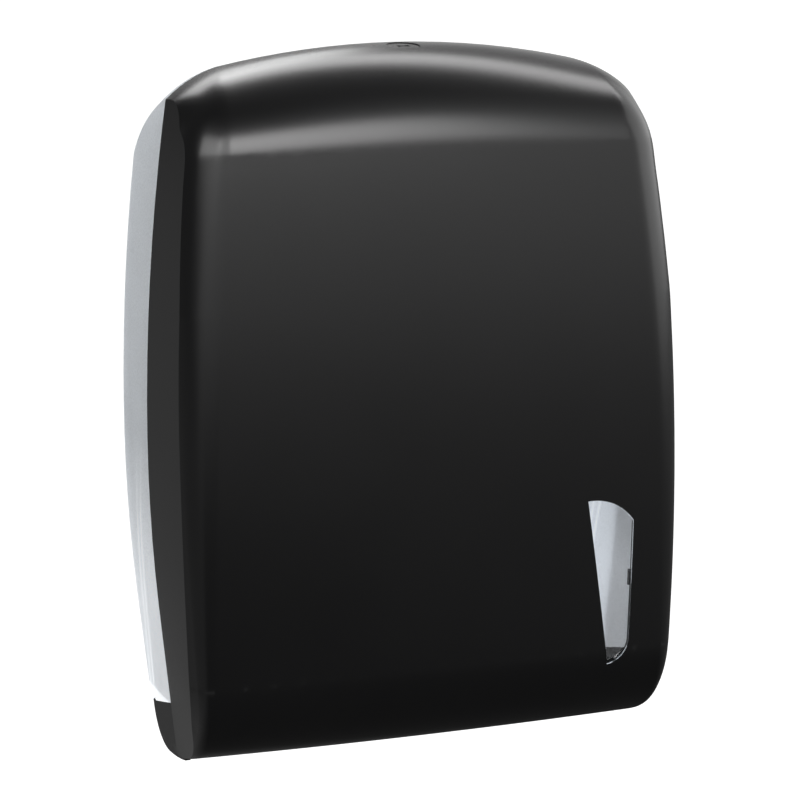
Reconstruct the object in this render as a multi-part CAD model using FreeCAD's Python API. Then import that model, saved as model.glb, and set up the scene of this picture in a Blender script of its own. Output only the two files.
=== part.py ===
"""Wall-mounted folded paper towel dispenser: a translucent back shell, a black front cover that
swings down on two pins, a key lock at the top, a sight window and a tray with a towel slot.

Millimetres. +X is to the right, the front faces -Y, +Z is up, and the wall is the plane Y = 0.
Heights are counted from the cover's lowest point and depths from the wall while the pieces are
built; save() then moves the origin to the centre of the wall-screw pattern on the wall.
"""
import FreeCAD, Part
import math
import os

V = FreeCAD.Vector

# ---------------------------------------------------------------- casing, overall
HEIGHT = 394.0          # lowest point of the cover to the top of the arch
HALF_WIDTH = 145.1      # at the widest height
DEPTH = 124.0           # wall to the front face
PARTING_DEPTH = 47.5    # wall to the joint between shell and cover
PARTING_GAP = 0.5       # open joint between shell and cover
WIDEST_Z = 186.0
SIDE_UPPER_RADIUS = 1247.0
SIDE_LOWER_RADIUS = 950.0
SIDE_STRAIGHT_Z = 83.0      # below this height the rear outline runs straight
SIDE_FRONT_RADIUS = 3500.0  # lower outline of the side at the front
SIDE_FRONT_DEPTH = DEPTH - 6.0
TUCK_Z = 60.0               # the front corners tuck in below this height
TUCK_RADIUS = 330.0

# ---------------------------------------------------------------- casing, front profile
FACE_RADIUS = 1750.0
FACE_UPRIGHT_Z = 113.0   # height at which the face is vertical
CROWN_RADIUS = 60.0      # round from the face to the top
TOE_RADIUS = 52.0        # round from the face to the underside
UNDER_RADIUS = 150.0     # gentle curve of the underside, lowest below the hinge
ARCH_RADIUS = 494.0      # sideways bow of the top
BOW_RADIUS = 6000.0      # sideways bow of the face

# ---------------------------------------------------------------- casing, side rounding
PANEL_INSET = 13.6       # casing's half width less the flat half width of the face at the toe
PANEL_TAPER = 5000.0     # narrowing of the face with the squared distance from the toe
EDGE_KINK = math.radians(4.0)   # faint crease where the flat face meets its side rounding
ROUND_TOE = 9.4          # rounding radius at the toe
ROUND_GROWTH = 0.072     # growth of that radius per millimetre along the profile
ROUND_FADE = 30.0        # the radius stops shrinking this far round the toe
ROUND_STEADY = 201.0     # and is steady above this length
ROUND_FLARE = 34.0       # further growth over the crown
FLARE_LENGTH = 63.63       # the flare runs over this length and ends at the parting
ROUND_ANGLE = math.radians(72)
SHOULDER_PULL = 9.0      # the rear top corners draw in by this much at the wall
ROOF_FALL = 7.5          # the shell's top falls by this much from the parting to the wall
SKIN_REACH = 5.0         # the construction skin runs out past the sides by this much

# ---------------------------------------------------------------- casing, underside and walls
EDGE_SLOPE = math.atan(0.245)   # the shell's lower edges rise towards the front
COVER_WALL = 2.4
INSERT_GAP = 0.6
INSERT_WALL = 1.9
SIDE_WALL = COVER_WALL + INSERT_GAP + INSERT_WALL
BACK_WALL = 2.6
INSERT_DEPTH = DEPTH - 32.0  # the shell's side walls reach this far inside the cover
INSERT_TOP = HEIGHT - 76.0
INSERT_TOP_DEPTH = 52.5  # the shell's top wall reaches this far inside the cover
SHELL_EDGE_Z = 28.8      # shell's lower edge, at the hinge's depth
INSERT_EDGE_Z = 34.2
RIM_OPENING_HALF = HALF_WIDTH - 21.6    # opening in the cover's underside
RIM_OPENING_DEPTH = DEPTH - 44.0
RIM_CORNER_R = 10.0
REAR_INSET = 0.4         # slanted rear panel of the shell, drawn in at the wall
REAR_INSET_LOW = 1.9     # more at the bottom
REAR_SLANT = 0.05

# ---------------------------------------------------------------- hinge
HINGE_DEPTH = 35.0
HINGE_Z = 32.0
EAR_RADIUS = HINGE_Z     # rear curve of the ears, centred on the hinge
EAR_OUTER_X = HALF_WIDTH - 14.1
EAR_WALL = 3.0
EAR_ROOT_DEPTH = 64.0    # the ear is part of the cover's side up to this depth
EAR_ROOT_RISE = 3.0      # top of the root above the hinge axis, under the shell's edge
EAR_START = 18.0         # angle from the wall at which the rear curve starts, in degrees
EAR_BOSS_R = 9.0
EAR_CLEAR = 0.5
EAR_SWING = 2.2          # room round the ear for its front part, which swings past the shell
PIN_R = 3.0
PIN_FIT = 0.05
PIN_HEAD_R = 5.0
PIN_HEAD = 2.0
WASHER_R = 6.5
WASHER_THICK = 1.0
WASHER_PLAY = 0.1
PIN_BOSS_R = 7.0
PIN_BOSS_LENGTH = 16.0

# ---------------------------------------------------------------- wall fixing
HOLE_PITCH_X = 180.0
HOLE_LOW_Z = 87.0
HOLE_TOP_DROP = 87.0
HOLE_R = 2.75
HOLE_BOSS_R = 9.0
HOLE_BOSS = 2.4

HOLE_PITCH_Z = HEIGHT - HOLE_TOP_DROP - HOLE_LOW_Z
HOLE_CENTRE_Z = HOLE_LOW_Z + HOLE_PITCH_Z / 2

# ---------------------------------------------------------------- sight window
WINDOW_TOP_Z = 144.0
WINDOW_BOTTOM_Z = 49.0
WINDOW_TOP_LEFT_X = HALF_WIDTH - 60.1
WINDOW_FOOT_LEFT_X = HALF_WIDTH - 46.6
WINDOW_SHOULDER_X = HALF_WIDTH - 31.6
WINDOW_SHOULDER_Z = 131.0
WINDOW_HEEL_X = HALF_WIDTH - 33.6
WINDOW_HEEL_Z = 62.0
LENS_RECESS = 0.3
LENS_THICK = 2.0
LENS_GAP = 0.15
LENS_FLANGE = 3.5
FRAME_BORDER = 6.0
FRAME_THICK = 1.8
LUG_Z = 98.0             # small stop on the frame behind the pane's right edge
LUG_HALF = 4.5
LUG_REACH = 0.9

# ---------------------------------------------------------------- lock
LOCK_DEPTH = PARTING_DEPTH + 12.5
LOCK_SINK = 0.5          # lock face below the skin; it follows the skin when locked
LOCK_R = 9.0
LOCK_FIT = 0.15
LOCK_LENGTH = 22.0
NUT_FLATS = 22.0
NUT_THICK = 5.0
BARREL_R = 6.0
BARREL_FIT = 0.08
BARREL_TAIL = 4.0
CAM_THICK = 3.0
CAM_HALF = 5.0
CAM_REACH = 20.8
FINGER_THICK = 3.0
FINGER_RISE = 11.0
KEEPER_GAP = 0.6
KEEPER_THICK = 2.5
KEEPER_ANGLE = 28.0
KEEPER_BASE = 2.0
KEEPER_HALF = 14.0
KEEPER_BACK_DEPTH = 18.0
SCREW_R = 1.5
SCREW_HEAD_R = 3.0
SCREW_HEAD = 1.8
SCREW_FIT = 0.1

# ---------------------------------------------------------------- tray and towel slot
TRAY_HALF = HALF_WIDTH - 24.1
TRAY_Z = 24.0            # underside of the tray floor
TRAY_FLOOR = 2.4
TRAY_FRONT_DEPTH = DEPTH - 22.0
TRAY_WALL = 2.4
TRAY_SIDE = 9.0          # tray rim above the floor
TRAY_FLANGE_TOP = 66.0
TRAY_SEAT_DEPTH = 6.0    # the tray's back flange stands on bosses of the back wall
TRAY_FLANGE = 2.4
TRAY_SCREW_Z = 56.0
TRAY_SCREW_X = (-TRAY_HALF + 23, -36.0, 36.0, TRAY_HALF - 23)
SLOT_HALF = HALF_WIDTH - 53.1
SLOT_NEAR_DEPTH = 38.0
SLOT_FAR_DEPTH = 72.0
THROAT_WALL = 2.0
THROAT_DROP = 10.0
THROAT_LIP = 1.6
THROAT_FLANGE = 5.0
THROAT_GAP = 0.2
BOSS_R = 4.5

# ---------------------------------------------------------------- stack guides and buffers
GUIDE_X = HALF_WIDTH - 26.1
GUIDE_BOTTOM_Z = 84.0
GUIDE_TOP_Z = HEIGHT - 70.0
GUIDE_REACH = 12.0
GUIDE_FOOT = 13.0
GUIDE_THICK = 2.0
GUIDE_SCREW_Z = (GUIDE_BOTTOM_Z + 28.0, GUIDE_TOP_Z - 28.0)
BUFFER_X = 62.0
BUFFER_R = 1.5
BUFFER_LENGTH = 4.0
BUFFER_DROP = 2.7        # axis below the top of the shell


# ================================================================ small helpers
def save(name, shape):
    """Write one node with the origin at the centre of the wall-screw pattern."""
    placed = shape.copy()
    placed.translate(V(0, 0, -HOLE_CENTRE_Z))
    placed.exportStep("parts/" + name + ".step")


def at(x, depth, z):
    return V(x, -depth, z)


def block(x0, x1, depth0, depth1, z0, z1):
    return Part.makeBox(x1 - x0, depth1 - depth0, z1 - z0, V(x0, -depth1, z0))


def disc_x(x0, x1, depth, z, radius):
    """Cylinder along X."""
    return Part.makeCylinder(radius, x1 - x0, at(x0, depth, z), V(1, 0, 0))


def disc_z(x, depth, z0, z1, radius):
    """Cylinder along Z."""
    return Part.makeCylinder(radius, z1 - z0, at(x, depth, z0), V(0, 0, 1))


def disc_y(x, z, depth0, depth1, radius):
    """Cylinder along Y, from depth0 to depth1."""
    return Part.makeCylinder(radius, depth1 - depth0, at(x, depth0, z), V(0, -1, 0))


def mirror(shape):
    return shape.mirror(V(0, 0, 0), V(1, 0, 0))


def both(shape):
    return [shape, mirror(shape)]


def ease(t):
    t = min(max(t, 0.0), 1.0)
    return t * t * (3 - 2 * t)


# ================================================================ casing surface
FACE_CENTRE = (DEPTH - FACE_RADIUS, FACE_UPRIGHT_Z)


def tangent_centre(radius, z):
    """Depth of the centre of a round of that radius, tangent inside the face, at height z."""
    reach = FACE_RADIUS - radius
    return FACE_CENTRE[0] + math.sqrt(reach ** 2 - (z - FACE_UPRIGHT_Z) ** 2)


def toe_centre():
    """Centre of the toe's round, tangent inside both the underside's curve and the face."""
    to_under = UNDER_RADIUS - TOE_RADIUS
    to_face = FACE_RADIUS - TOE_RADIUS
    gap = math.dist(UNDER_CENTRE, FACE_CENTRE)
    way = ((FACE_CENTRE[0] - UNDER_CENTRE[0]) / gap, (FACE_CENTRE[1] - UNDER_CENTRE[1]) / gap)
    along = (to_under ** 2 - to_face ** 2 + gap ** 2) / (2 * gap)
    off = math.sqrt(to_under ** 2 - along ** 2)
    return (UNDER_CENTRE[0] + along * way[0] - off * way[1],
            UNDER_CENTRE[1] + along * way[1] + off * way[0])


UNDER_CENTRE = (HINGE_DEPTH, UNDER_RADIUS)
CROWN_CENTRE = (tangent_centre(CROWN_RADIUS, HEIGHT - CROWN_RADIUS), HEIGHT - CROWN_RADIUS)
TOE_CENTRE = toe_centre()


def crown_z(depth, inset):
    """Height of the top in the middle of the width, at a depth in front of the crown centre."""
    return CROWN_CENTRE[1] + math.sqrt((CROWN_RADIUS - inset) ** 2 - (depth - CROWN_CENTRE[0]) ** 2)


def face_angle(centre):
    return math.atan2(centre[1] - FACE_CENTRE[1], centre[0] - FACE_CENTRE[0])


LOCK_TOP_Z = crown_z(LOCK_DEPTH, 0) - LOCK_SINK
KEEPER_SCREW_DEPTH = (KEEPER_BACK_DEPTH + LOCK_DEPTH - CAM_REACH) / 2
CROWN_START = face_angle(CROWN_CENTRE)
TOE_END = face_angle(TOE_CENTRE)
TOE_START = math.atan2(TOE_CENTRE[1] - UNDER_CENTRE[1], TOE_CENTRE[0] - UNDER_CENTRE[0])
TOE_LENGTH = TOE_RADIUS * (TOE_END - TOE_START)
UNDER_LENGTH = UNDER_RADIUS * (TOE_START + math.pi / 2)
FACE_LENGTH = FACE_RADIUS * (CROWN_START - TOE_END)
CROWN_LENGTH = CROWN_RADIUS * (math.pi / 2 - CROWN_START)
PARTING_RUN = FACE_LENGTH + CROWN_LENGTH + CROWN_CENTRE[0] - PARTING_DEPTH


def profile():
    """Stations of the middle profile as (arc centre, arc radius, outward angle, run).

    The run is the length along the profile from the end of the toe, negative below it.
    """
    stations = []
    for i in range(5):
        angle = -math.pi / 2 + (math.pi / 2 + TOE_START) * i / 5
        run = UNDER_RADIUS * (angle - TOE_START) - TOE_LENGTH
        stations.append((UNDER_CENTRE, UNDER_RADIUS, angle, run))
    for i in range(8):
        angle = TOE_START + (TOE_END - TOE_START) * i / 8
        stations.append((TOE_CENTRE, TOE_RADIUS, angle, TOE_RADIUS * (angle - TOE_END)))
    for i in range(20):
        angle = TOE_END + (CROWN_START - TOE_END) * i / 20
        stations.append((FACE_CENTRE, FACE_RADIUS, angle, FACE_RADIUS * (angle - TOE_END)))
    for i in range(8):
        angle = CROWN_START + (math.pi / 2 - CROWN_START) * i / 7
        run = FACE_LENGTH + CROWN_RADIUS * (angle - CROWN_START)
        stations.append((CROWN_CENTRE, CROWN_RADIUS, angle, run))
    return stations


def panel_half(run, depth):
    """Half width of the flat part of the face, top and underside."""
    half = HALF_WIDTH - PANEL_INSET
    if run < 0:
        return half
    pull = SHOULDER_PULL * (max(PARTING_DEPTH - depth, 0) / PARTING_DEPTH) ** 2
    return half - run * run / PANEL_TAPER - pull


def round_radius(run):
    flare = ROUND_FLARE * ease((run - PARTING_RUN) / FLARE_LENGTH + 1)
    return ROUND_TOE + ROUND_GROWTH * min(max(run, -ROUND_FADE), ROUND_STEADY) + flare


def skin_section(depth, z, inward, run, inset):
    """Section of the skin across the width, at one place of the middle profile."""
    kink_x, kink_drop = math.sin(EDGE_KINK), math.cos(EDGE_KINK)
    half = panel_half(run, depth) - inset * kink_x
    radius = round_radius(run) - inset
    rise = inward[1] ** 2 if run > 0 else 0.0
    bow = (rise / ARCH_RADIUS + (1 - rise) / BOW_RADIUS) / 2

    def point(x, drop):
        offset = drop + bow * x * x
        return at(x, depth + inward[0] * offset, z + inward[1] * offset)

    middle = Part.BSplineCurve()
    middle.interpolate(Points=[point(half * f, 0) for f in (-1, -0.5, 0, 0.5, 1)],
                       Parameters=[0, 0.25, 0.5, 0.75, 1])
    edges = [middle.toShape()]
    turns = [EDGE_KINK + (ROUND_ANGLE - EDGE_KINK) * i / 6 for i in range(7)]
    arc = [(half + radius * (math.sin(t) - kink_x), radius * (kink_drop - math.cos(t)))
           for t in turns]
    reach = HALF_WIDTH + SKIN_REACH
    last_drop = arc[-1][1] + (reach - arc[-1][0]) * math.tan(ROUND_ANGLE)
    for side in (1, -1):
        points = [point(side * x, drop) for x, drop in arc]
        last = point(side * reach, last_drop)
        curve = Part.BSplineCurve()
        curve.interpolate(Points=points, Parameters=[i / 6 for i in range(7)])
        if side > 0:
            edges += [curve.toShape(), Part.makeLine(points[-1], last)]
        else:
            edges = [Part.makeLine(points[-1], last), curve.toShape()] + edges
    return Part.Wire(Part.__sortEdges__(edges))


def skin(inset):
    """Outer skin of the casing, moved inwards by the inset, open towards the wall."""
    sections = []
    for beyond in (60.0, 45.0, 30.0, 15.0):
        sections.append(skin_section(HINGE_DEPTH - beyond, inset, (0, 1),
                                     -TOE_LENGTH - UNDER_LENGTH, inset))
    for centre, radius, angle, run in profile():
        out = (math.cos(angle), math.sin(angle))
        sections.append(skin_section(centre[0] + (radius - inset) * out[0],
                                     centre[1] + (radius - inset) * out[1],
                                     (-out[0], -out[1]), run, inset))
    for i in range(1, 8):
        depth = CROWN_CENTRE[0] - (CROWN_CENTRE[0] + 4 * SKIN_REACH) * i / 7
        run = FACE_LENGTH + CROWN_LENGTH + CROWN_CENTRE[0] - depth
        sections.append(skin_section(depth, HEIGHT - inset, (0, -1), run, inset))
    return Part.makeLoft(sections, False, False)


def roof_z(depth, inset):
    """Height of the shell's falling top in the middle of the width."""
    return HEIGHT - inset - ROOF_FALL * (PARTING_DEPTH - depth) / PARTING_DEPTH


KEEPER_TOP_Z = roof_z(KEEPER_BACK_DEPTH - 2, SIDE_WALL) - 0.5


def roof(inset):
    """Top skin of the shell behind the parting."""
    sections = []
    for i in range(9):
        depth = PARTING_DEPTH + SKIN_REACH - (PARTING_DEPTH + 3 * SKIN_REACH) * i / 8
        run = FACE_LENGTH + CROWN_LENGTH + CROWN_CENTRE[0] - depth
        sections.append(skin_section(depth, roof_z(depth, inset), (0, -1), run, inset))
    return Part.makeLoft(sections, False, False)


def side_half(z, depth):
    """Half width of the casing's flat sides."""
    if z > WIDEST_Z:
        return HALF_WIDTH - (z - WIDEST_Z) ** 2 / (2 * SIDE_UPPER_RADIUS)
    bend = WIDEST_Z - max(z, SIDE_STRAIGHT_Z)
    slope = (WIDEST_Z - SIDE_STRAIGHT_Z) / SIDE_LOWER_RADIUS
    rear = bend ** 2 / (2 * SIDE_LOWER_RADIUS) + max(SIDE_STRAIGHT_Z - z, 0) * slope
    front = (WIDEST_Z - z) ** 2 / (2 * SIDE_FRONT_RADIUS)
    front += max(TUCK_Z - z, 0) ** 2 / (2 * TUCK_RADIUS)
    share = max(depth - PARTING_DEPTH, 0) / (SIDE_FRONT_DEPTH - PARTING_DEPTH)
    return HALF_WIDTH - rear * (1 - share) - front * share


def rear_half(z, depth):
    """Half width of the shell's slanted rear panels."""
    inset = REAR_INSET + REAR_INSET_LOW * ((HEIGHT - z) / HEIGHT) ** 2
    return side_half(z, 0) - inset + REAR_SLANT * depth


def between_sides(half, depth0, depth1, inset):
    """Solid between two curved side surfaces whose half width is given by a function."""
    low, high, steps = -30.0, HEIGHT + 20.0, 16
    wires = []
    for depth in (depth0, depth1):
        right = []
        for i in range(steps + 1):
            z = low + (high - low) * i / steps
            right.append(at(half(z, depth) - inset, depth, z))
        left = [V(-p.x, p.y, p.z) for p in reversed(right)]
        edges = []
        for side in (right, left):
            curve = Part.BSplineCurve()
            curve.interpolate(side)
            edges.append(curve.toShape())
        edges.insert(1, Part.makeLine(right[-1], left[0]))
        edges.append(Part.makeLine(left[-1], right[0]))
        wires.append(Part.Wire(edges))
    return Part.makeLoft(wires, True, True)


def inside(solid, face, point):
    """The piece of a solid, cut by an open face, that holds the point."""
    pieces = solid.generalFuse([face])[0].Solids
    for piece in pieces:
        if piece.isInside(point, 0.01, False):
            return piece
    raise RuntimeError("the skin does not cut the solid")


def casing(inset, depth0, depth1, surface=skin):
    """Casing body between two depths, with its skin and sides moved inwards by the inset."""
    if depth1 > PARTING_DEPTH:
        body = between_sides(side_half, PARTING_DEPTH, DEPTH + 20.0, inset)
        if depth0 < PARTING_DEPTH:
            body = body.fuse(between_sides(side_half, -5.0, PARTING_DEPTH, inset))
    else:
        body = between_sides(side_half, -5.0, PARTING_DEPTH, inset)
    body = body.common(block(-200, 200, depth0, depth1, -60, HEIGHT + 15))
    middle = at(0, (depth0 + min(depth1, DEPTH - 20)) / 2, HEIGHT / 2)
    return inside(body, surface(inset), middle)


def above_edge(shape, edge_z):
    """Cut away what lies below a lower edge that has the given height at the hinge's depth."""
    near, far, low = -20.0, DEPTH + 40.0, -80.0
    near_z = edge_z + (near - HINGE_DEPTH) * math.tan(EDGE_SLOPE)
    far_z = edge_z + (far - HINGE_DEPTH) * math.tan(EDGE_SLOPE)
    corners = [at(-200, near, low), at(-200, far, low), at(-200, far, far_z),
               at(-200, near, near_z)]
    return shape.cut(Part.Face(Part.makePolygon(corners + corners[:1])).extrude(V(400, 0, 0)))


def under_z(depth):
    """Height of the underside in the middle, behind the toe."""
    return UNDER_RADIUS - math.sqrt(UNDER_RADIUS ** 2 - (depth - HINGE_DEPTH) ** 2)


def outline_x(points, x0, x1):
    """Prism along X over a closed outline of (depth, z) points.

    An item of four numbers is an arc, given by its middle and its end point.
    """
    edges = []
    start = points[0]
    for item in points[1:] + [points[0]]:
        if len(item) == 4:
            edges.append(Part.Arc(at(x0, *start), at(x0, *item[:2]), at(x0, *item[2:])).toShape())
            start = item[2:]
        else:
            edges.append(Part.makeLine(at(x0, *start), at(x0, *item)))
            start = item
    return Part.Face(Part.Wire(edges)).extrude(V(x1 - x0, 0, 0))


# ================================================================ cover
def on_circle(radius, degrees):
    """Point about the hinge axis; 0 degrees is towards the wall, 90 degrees down."""
    turn = math.radians(degrees)
    return (HINGE_DEPTH - radius * math.cos(turn), HINGE_Z - radius * math.sin(turn))


def ear_outline():
    """Rear curve about the hinge, the underside's curve, the root and the boss on top."""
    middle = (HINGE_DEPTH + EAR_ROOT_DEPTH) / 2
    root_top = HINGE_Z + EAR_ROOT_RISE
    return [on_circle(EAR_RADIUS, EAR_START),
            on_circle(EAR_RADIUS, (EAR_START + 90) / 2) + on_circle(EAR_RADIUS, 90),
            (middle, under_z(middle), EAR_ROOT_DEPTH, under_z(EAR_ROOT_DEPTH)),
            (EAR_ROOT_DEPTH, root_top), (PARTING_DEPTH - 2, root_top),
            (HINGE_DEPTH, HINGE_Z + EAR_BOSS_R),
            on_circle(EAR_BOSS_R, -45) + on_circle(EAR_BOSS_R, 0)]


def right_ear(outer):
    """Ear inside the shell's side wall, joined to the cover's side in front of the parting."""
    inner_x = EAR_OUTER_X - EAR_WALL
    plate = outline_x(ear_outline(), inner_x, EAR_OUTER_X)
    root = outline_x(ear_outline(), inner_x, HALF_WIDTH).common(outer)
    ear = plate.fuse(root)
    return ear.cut(disc_x(inner_x - 5, HALF_WIDTH + 5, HINGE_DEPTH, HINGE_Z, PIN_R + PIN_FIT))


def window_outline(grow, depth0, depth1):
    """Prism along Y over the wedge-shaped window, grown outwards on all sides."""
    top_left = V(WINDOW_TOP_LEFT_X, 0, WINDOW_TOP_Z)
    shoulder = V(WINDOW_SHOULDER_X, 0, WINDOW_SHOULDER_Z)
    heel = V(WINDOW_HEEL_X, 0, WINDOW_HEEL_Z)
    foot = V(WINDOW_FOOT_LEFT_X, 0, WINDOW_BOTTOM_Z)
    crest = (top_left + shoulder) / 2 + V(1.5, 0, 4.0)
    toe = (heel + foot) / 2 + V(1.8, 0, -2.6)
    edges = [Part.Arc(top_left, crest, shoulder).toShape(), Part.makeLine(shoulder, heel),
             Part.Arc(heel, toe, foot).toShape(), Part.makeLine(foot, top_left)]
    wire = Part.Wire(edges)
    if grow:
        wire = wire.makeOffset2D(grow, 2)
    face = Part.Face(wire)
    face.translate(V(0, -depth0, 0))
    return face.extrude(V(0, depth0 - depth1, 0))


def make_cover(cover_body, cover_core):
    opening = block(-RIM_OPENING_HALF, RIM_OPENING_HALF, 20, RIM_OPENING_DEPTH, -40, 30)
    corners = [e for e in opening.Edges if e.Length > 65 and e.Length < 75
               and e.CenterOfMass.y < -RIM_OPENING_DEPTH + 1]
    opening = opening.makeFillet(RIM_CORNER_R, corners)
    cover = cover_body.cut([cover_core, opening])
    front = cover_body.cut(block(-200, 200, 0, PARTING_DEPTH + PARTING_GAP, -60, HEIGHT + 20))
    cover = cover.fuse(both(right_ear(front)))
    cover = cover.cut(window_outline(0, DEPTH - 25, DEPTH + 10))
    cover = cover.cut(disc_z(0, LOCK_DEPTH, HEIGHT - 20, HEIGHT + 5, LOCK_R + LOCK_FIT))
    return cover


def make_window(cover_body):
    """Clear pane in the window with a flange behind the cover's wall, and its black frame."""
    near = DEPTH - 40
    back = casing(LENS_RECESS + LENS_THICK, near, DEPTH + 10)
    pane = casing(LENS_RECESS, near, DEPTH + 10).cut(back)
    pane = pane.common(window_outline(-LENS_GAP, near, DEPTH + 5))
    flange_back = casing(COVER_WALL + LENS_GAP + 1.2, near, DEPTH + 10)
    flange = casing(COVER_WALL + LENS_GAP, near, DEPTH + 10).cut(flange_back)
    bridge = casing(LENS_RECESS + LENS_THICK - 0.3, near, DEPTH + 10).cut(flange_back)
    lens = pane.fuse([flange.common(window_outline(LENS_FLANGE, near, DEPTH + 5)),
                      bridge.common(window_outline(-LENS_GAP, near, DEPTH + 5))])
    frame_front = COVER_WALL + LENS_GAP
    frame = casing(frame_front, near, DEPTH + 10)
    frame = frame.cut(casing(frame_front + FRAME_THICK + 1.2, near, DEPTH + 10))
    frame = frame.common(window_outline(FRAME_BORDER, near, DEPTH + 5))
    seat = casing(0, near, DEPTH + 10).cut(casing(frame_front + 1.2 + LENS_GAP, near, DEPTH + 10))
    frame = frame.cut(seat.common(window_outline(LENS_FLANGE + LENS_GAP, near, DEPTH + 5)))
    lug = frame.common(block(0, HALF_WIDTH, near, DEPTH, LUG_Z - LUG_HALF, LUG_Z + LUG_HALF))
    lug = lug.common(window_outline(2.0, near - 5, DEPTH + 5))
    lug = lug.cut(window_outline(-LUG_REACH, near - 5, DEPTH + 5))
    lug = lug.cut(block(0, (WINDOW_TOP_LEFT_X + WINDOW_SHOULDER_X) / 2, near, DEPTH, 0, HEIGHT))
    frame = frame.cut(window_outline(0.6, near - 5, DEPTH + 5)).fuse(lug)
    return lens, frame


# ================================================================ shell
def make_shell():
    outer = casing(0, 0.0, PARTING_DEPTH, roof)
    outer = outer.common(between_sides(rear_half, 0.0, PARTING_DEPTH + 1, 0))
    pad = outer.common(block(-KEEPER_HALF - 2, KEEPER_HALF + 2, KEEPER_BACK_DEPTH - 2,
                             PARTING_DEPTH - 1.5, KEEPER_TOP_Z, HEIGHT))
    core = casing(SIDE_WALL, BACK_WALL, PARTING_DEPTH, roof)
    core = core.common(between_sides(rear_half, BACK_WALL, PARTING_DEPTH + 1, SIDE_WALL))
    core = core.fuse(block(-200, 200, BACK_WALL, 60, -80, HINGE_Z).common(
        between_sides(rear_half, BACK_WALL, PARTING_DEPTH + 1, SIDE_WALL)))
    shell = above_edge(outer.cut(core), SHELL_EDGE_Z)
    shell = shell.fuse([pad, shell_insert()])
    for z in (HOLE_CENTRE_Z - HOLE_PITCH_Z / 2, HOLE_CENTRE_Z + HOLE_PITCH_Z / 2):
        for x in (-HOLE_PITCH_X / 2, HOLE_PITCH_X / 2):
            shell = shell.fuse(disc_y(x, z, 0, BACK_WALL + HOLE_BOSS, HOLE_BOSS_R))
            shell = shell.cut(disc_y(x, z, -1, 30, HOLE_R))
    for x in TRAY_SCREW_X:
        shell = shell.fuse(disc_y(x, TRAY_SCREW_Z, 0, TRAY_SEAT_DEPTH, BOSS_R))
        shell = shell.cut(disc_y(x, TRAY_SCREW_Z, 1.0, 30, SCREW_R + SCREW_FIT))
    for x, z in guide_screw_places():
        shell = shell.fuse(disc_y(x, z, 0, TRAY_SEAT_DEPTH, BOSS_R))
        shell = shell.cut(disc_y(x, z, 1.0, 30, SCREW_R + SCREW_FIT))
    for x in (-KEEPER_HALF + 4, KEEPER_HALF - 4):
        hole = disc_z(x, KEEPER_SCREW_DEPTH, KEEPER_TOP_Z - 1,
                      roof_z(KEEPER_SCREW_DEPTH, 1.0), SCREW_R + SCREW_FIT)
        shell = shell.cut(hole)
    shell = shell.cut(block(-18, 18, PARTING_DEPTH, 80, HEIGHT - 60, HEIGHT + 5))
    recess = EAR_OUTER_X + EAR_CLEAR
    swing = disc_x(EAR_OUTER_X - EAR_WALL - 4, recess, HINGE_DEPTH, HINGE_Z,
                   EAR_RADIUS + EAR_SWING)
    swing = swing.cut(block(-200, 200, -10, BACK_WALL, -80, 200))
    shell = shell.cut(both(swing))
    for x in (-BUFFER_X, BUFFER_X):
        z = buffer_z()
        shell = shell.cut(disc_y(x, z, PARTING_DEPTH - BUFFER_LENGTH, PARTING_DEPTH + 1,
                                 BUFFER_R + SCREW_FIT))
    return shell


def shell_insert():
    """Side walls and top lip of the shell that reach inside the cover."""
    outer_inset = COVER_WALL + INSERT_GAP
    ring = casing(outer_inset, PARTING_DEPTH - 1, INSERT_DEPTH)
    ring = ring.cut(casing(SIDE_WALL, PARTING_DEPTH - 2, INSERT_DEPTH + 1))
    ring = above_edge(ring, INSERT_EDGE_Z)
    top = HEIGHT + 10
    corner = INSERT_DEPTH - INSERT_TOP_DEPTH
    cutter = outline_x([(INSERT_TOP_DEPTH, top), (INSERT_TOP_DEPTH, INSERT_TOP + corner),
                        (INSERT_DEPTH, INSERT_TOP), (DEPTH, INSERT_TOP), (DEPTH, top)], -200, 200)
    ring = ring.cut(cutter)
    middle = block(-SLOT_HALF, SLOT_HALF, PARTING_DEPTH - 2, INSERT_DEPTH + 2, -60, INSERT_TOP)
    return ring.cut(middle)


def buffer_z():
    """Height of the buffers, in the thickness of the shell's top wall."""
    return HEIGHT - BUFFER_X ** 2 / (2 * ARCH_RADIUS) - BUFFER_DROP


def make_buffers():
    reach = PARTING_DEPTH + PARTING_GAP / 2
    return Part.makeCompound([disc_y(x, buffer_z(), PARTING_DEPTH - BUFFER_LENGTH + 0.1, reach,
                                     BUFFER_R) for x in (-BUFFER_X, BUFFER_X)])


# ================================================================ lock
def under_lock_face(shape):
    """Part of a shape below the lock's face."""
    return shape.common(casing(LOCK_SINK, LOCK_DEPTH - 2 * LOCK_R, LOCK_DEPTH + 2 * LOCK_R))


def make_lock_housing():
    bottom = LOCK_TOP_Z - LOCK_LENGTH
    body = under_lock_face(disc_z(0, LOCK_DEPTH, bottom, HEIGHT, LOCK_R))
    return body.cut(disc_z(0, LOCK_DEPTH, bottom - 1, HEIGHT + 1, BARREL_R + BARREL_FIT))


def make_lock_nut():
    top = crown_z(LOCK_DEPTH + NUT_FLATS / 2, COVER_WALL) - 0.15
    corner = NUT_FLATS / 2 / math.cos(math.pi / 6)
    points = []
    for i in range(7):
        turn = math.radians(60 * i)
        points.append(at(corner * math.cos(turn), LOCK_DEPTH + corner * math.sin(turn), top))
    nut = Part.Face(Part.makePolygon(points)).extrude(V(0, 0, -NUT_THICK))
    return nut.cut(disc_z(0, LOCK_DEPTH, top - 20, top + 5, LOCK_R + 0.05))


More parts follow.
